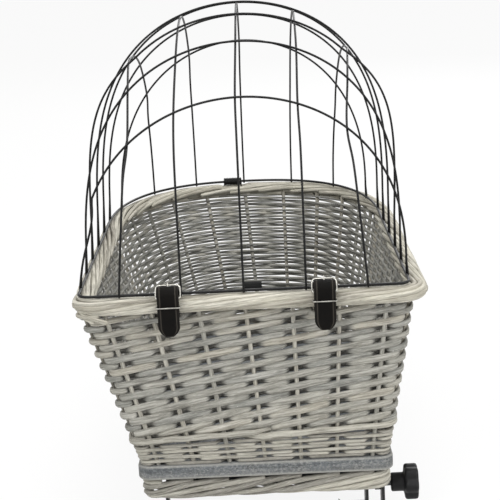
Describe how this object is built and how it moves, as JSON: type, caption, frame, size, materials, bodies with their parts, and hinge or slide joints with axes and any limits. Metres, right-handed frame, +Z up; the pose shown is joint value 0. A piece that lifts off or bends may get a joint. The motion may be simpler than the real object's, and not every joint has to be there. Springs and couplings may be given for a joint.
{
  "type": "bicycle pet basket",
  "caption": "Woven willow pet basket for a bicycle rack, with a wooden base board, a hinged wire dome lid held by buckled leather straps, and screw clamps under the base.",
  "frame": {"origin": "middle of the bounding box, on the surface that the clamps stand on", "axes": "+X to the basket's right, the side with the knobs; +Y from the straight, buckled front to the round, hinged back; +Z up"},
  "size_m": [0.3624, 0.5602, 0.5247],
  "materials": {
    "willow": "grey-washed, dull",
    "border": "grey-washed, pale, dull",
    "board": "grey-washed, dull",
    "wire": "black, satin",
    "leather": "dark brown, satin",
    "nickel": "bright plated",
    "steel": "black, satin",
    "zinc": "plated, dull",
    "plastic": "black, matt",
    "webbing": "black, dull"
  },
  "bodies": {
    "basket": {"base_board": "board", "upsett_band": "willow", "side_weave_front": "willow", "side_weave_right": "willow", "side_weave_rear_right": "willow", "side_weave_back_right": "willow", "side_weave_back_left": "willow", "side_weave_rear_left": "willow", "side_weave_left": "willow", "rim_border": "border", "foot_border": "border", "hinge_coil": "wire", "tether_loop": "webbing", "strap_left": "leather", "strap_right": "leather", "strap_keeper_left": "nickel", "strap_keeper_right": "nickel", "front_clamp_rail": "steel", "front_clamp_rail_nut": "zinc", "front_clamp_bolt_left": "zinc", "front_clamp_bolt_right": "zinc", "front_clamp_spacer_left": "zinc", "front_clamp_spacer_right": "zinc", "front_clamp_nut_left": "zinc", "front_clamp_nut_right": "zinc", "rear_clamp_rail": "steel", "rear_clamp_rail_nut": "zinc", "rear_clamp_bolt_left": "zinc", "rear_clamp_bolt_right": "zinc", "rear_clamp_spacer_left": "zinc", "rear_clamp_spacer_right": "zinc", "rear_clamp_nut_left": "zinc", "rear_clamp_nut_right": "zinc"},
    "lid": {"lid_ring": "wire", "lid_hoop_1": "wire", "lid_hoop_2": "wire", "lid_hoop_3": "wire", "lid_hoop_4": "wire", "lid_hoop_5": "wire", "lid_hoop_6": "wire", "lid_hoop_7": "wire", "lid_wire_far_left": "wire", "lid_wire_left": "wire", "lid_wire_middle": "wire", "lid_wire_right": "wire", "lid_wire_far_right": "wire"},
    "buckle_left": {"buckle_frame_left": "nickel"},
    "buckle_right": {"buckle_frame_right": "nickel"},
    "prong_left": {"buckle_prong_left": "nickel"},
    "prong_right": {"buckle_prong_right": "nickel"},
    "front_jaw": {"front_clamp_jaw": "steel"},
    "rear_jaw": {"rear_clamp_jaw": "steel"},
    "front_knob": {"front_clamp_screw": "zinc", "front_clamp_knob": "plastic"},
    "rear_knob": {"rear_clamp_screw": "zinc", "rear_clamp_knob": "plastic"}
  },
  "joints": [
    {"name": "lid_hinge", "type": "hinge", "parent": "basket", "child": "lid", "pos_m": [-0.0205, 0.26923, 0.2568], "axis": [-1, 0, 0], "range_deg": [0, 95], "deforming": ["strap_left", "strap_right"]},
    {"name": "buckle_left_hinge", "type": "hinge", "parent": "basket", "child": "buckle_left", "pos_m": [-0.081, -0.27299, 0.2558], "axis": [1, 0, 0], "range_deg": [0, 80]},
    {"name": "buckle_right_hinge", "type": "hinge", "parent": "basket", "child": "buckle_right", "pos_m": [0.075, -0.27299, 0.2558], "axis": [1, 0, 0], "range_deg": [0, 80]},
    {"name": "prong_left_hinge", "type": "hinge", "parent": "buckle_left", "child": "prong_left", "pos_m": [-0.081, -0.27299, 0.2558], "axis": [1, 0, 0], "range_deg": [0, 70]},
    {"name": "prong_right_hinge", "type": "hinge", "parent": "buckle_right", "child": "prong_right", "pos_m": [0.075, -0.27299, 0.2558], "axis": [1, 0, 0], "range_deg": [0, 70]},
    {"name": "front_jaw_slide", "type": "slide", "parent": "basket", "child": "front_jaw", "axis": [-1, 0, 0], "range_m": [-0.004, 0.006]},
    {"name": "rear_jaw_slide", "type": "slide", "parent": "basket", "child": "rear_jaw", "axis": [-1, 0, 0], "range_m": [-0.004, 0.006]},
    {"name": "front_knob_turn", "type": "hinge", "parent": "front_jaw", "child": "front_knob", "pos_m": [0.1402, -0.22049, 0.0275], "axis": [-1, 0, 0], "range_deg": [-1153, 1729]},
    {"name": "rear_knob_turn", "type": "hinge", "parent": "rear_jaw", "child": "rear_knob", "pos_m": [0.1402, 0.08151, 0.0275], "axis": [-1, 0, 0], "range_deg": [-1153, 1729]}
  ],
  "couplings": [
    {"joint": "front_knob_turn", "follows": "front_jaw_slide", "rad_per_m": 5026.5},
    {"joint": "rear_knob_turn", "follows": "rear_jaw_slide", "rad_per_m": 5026.5}
  ]
}
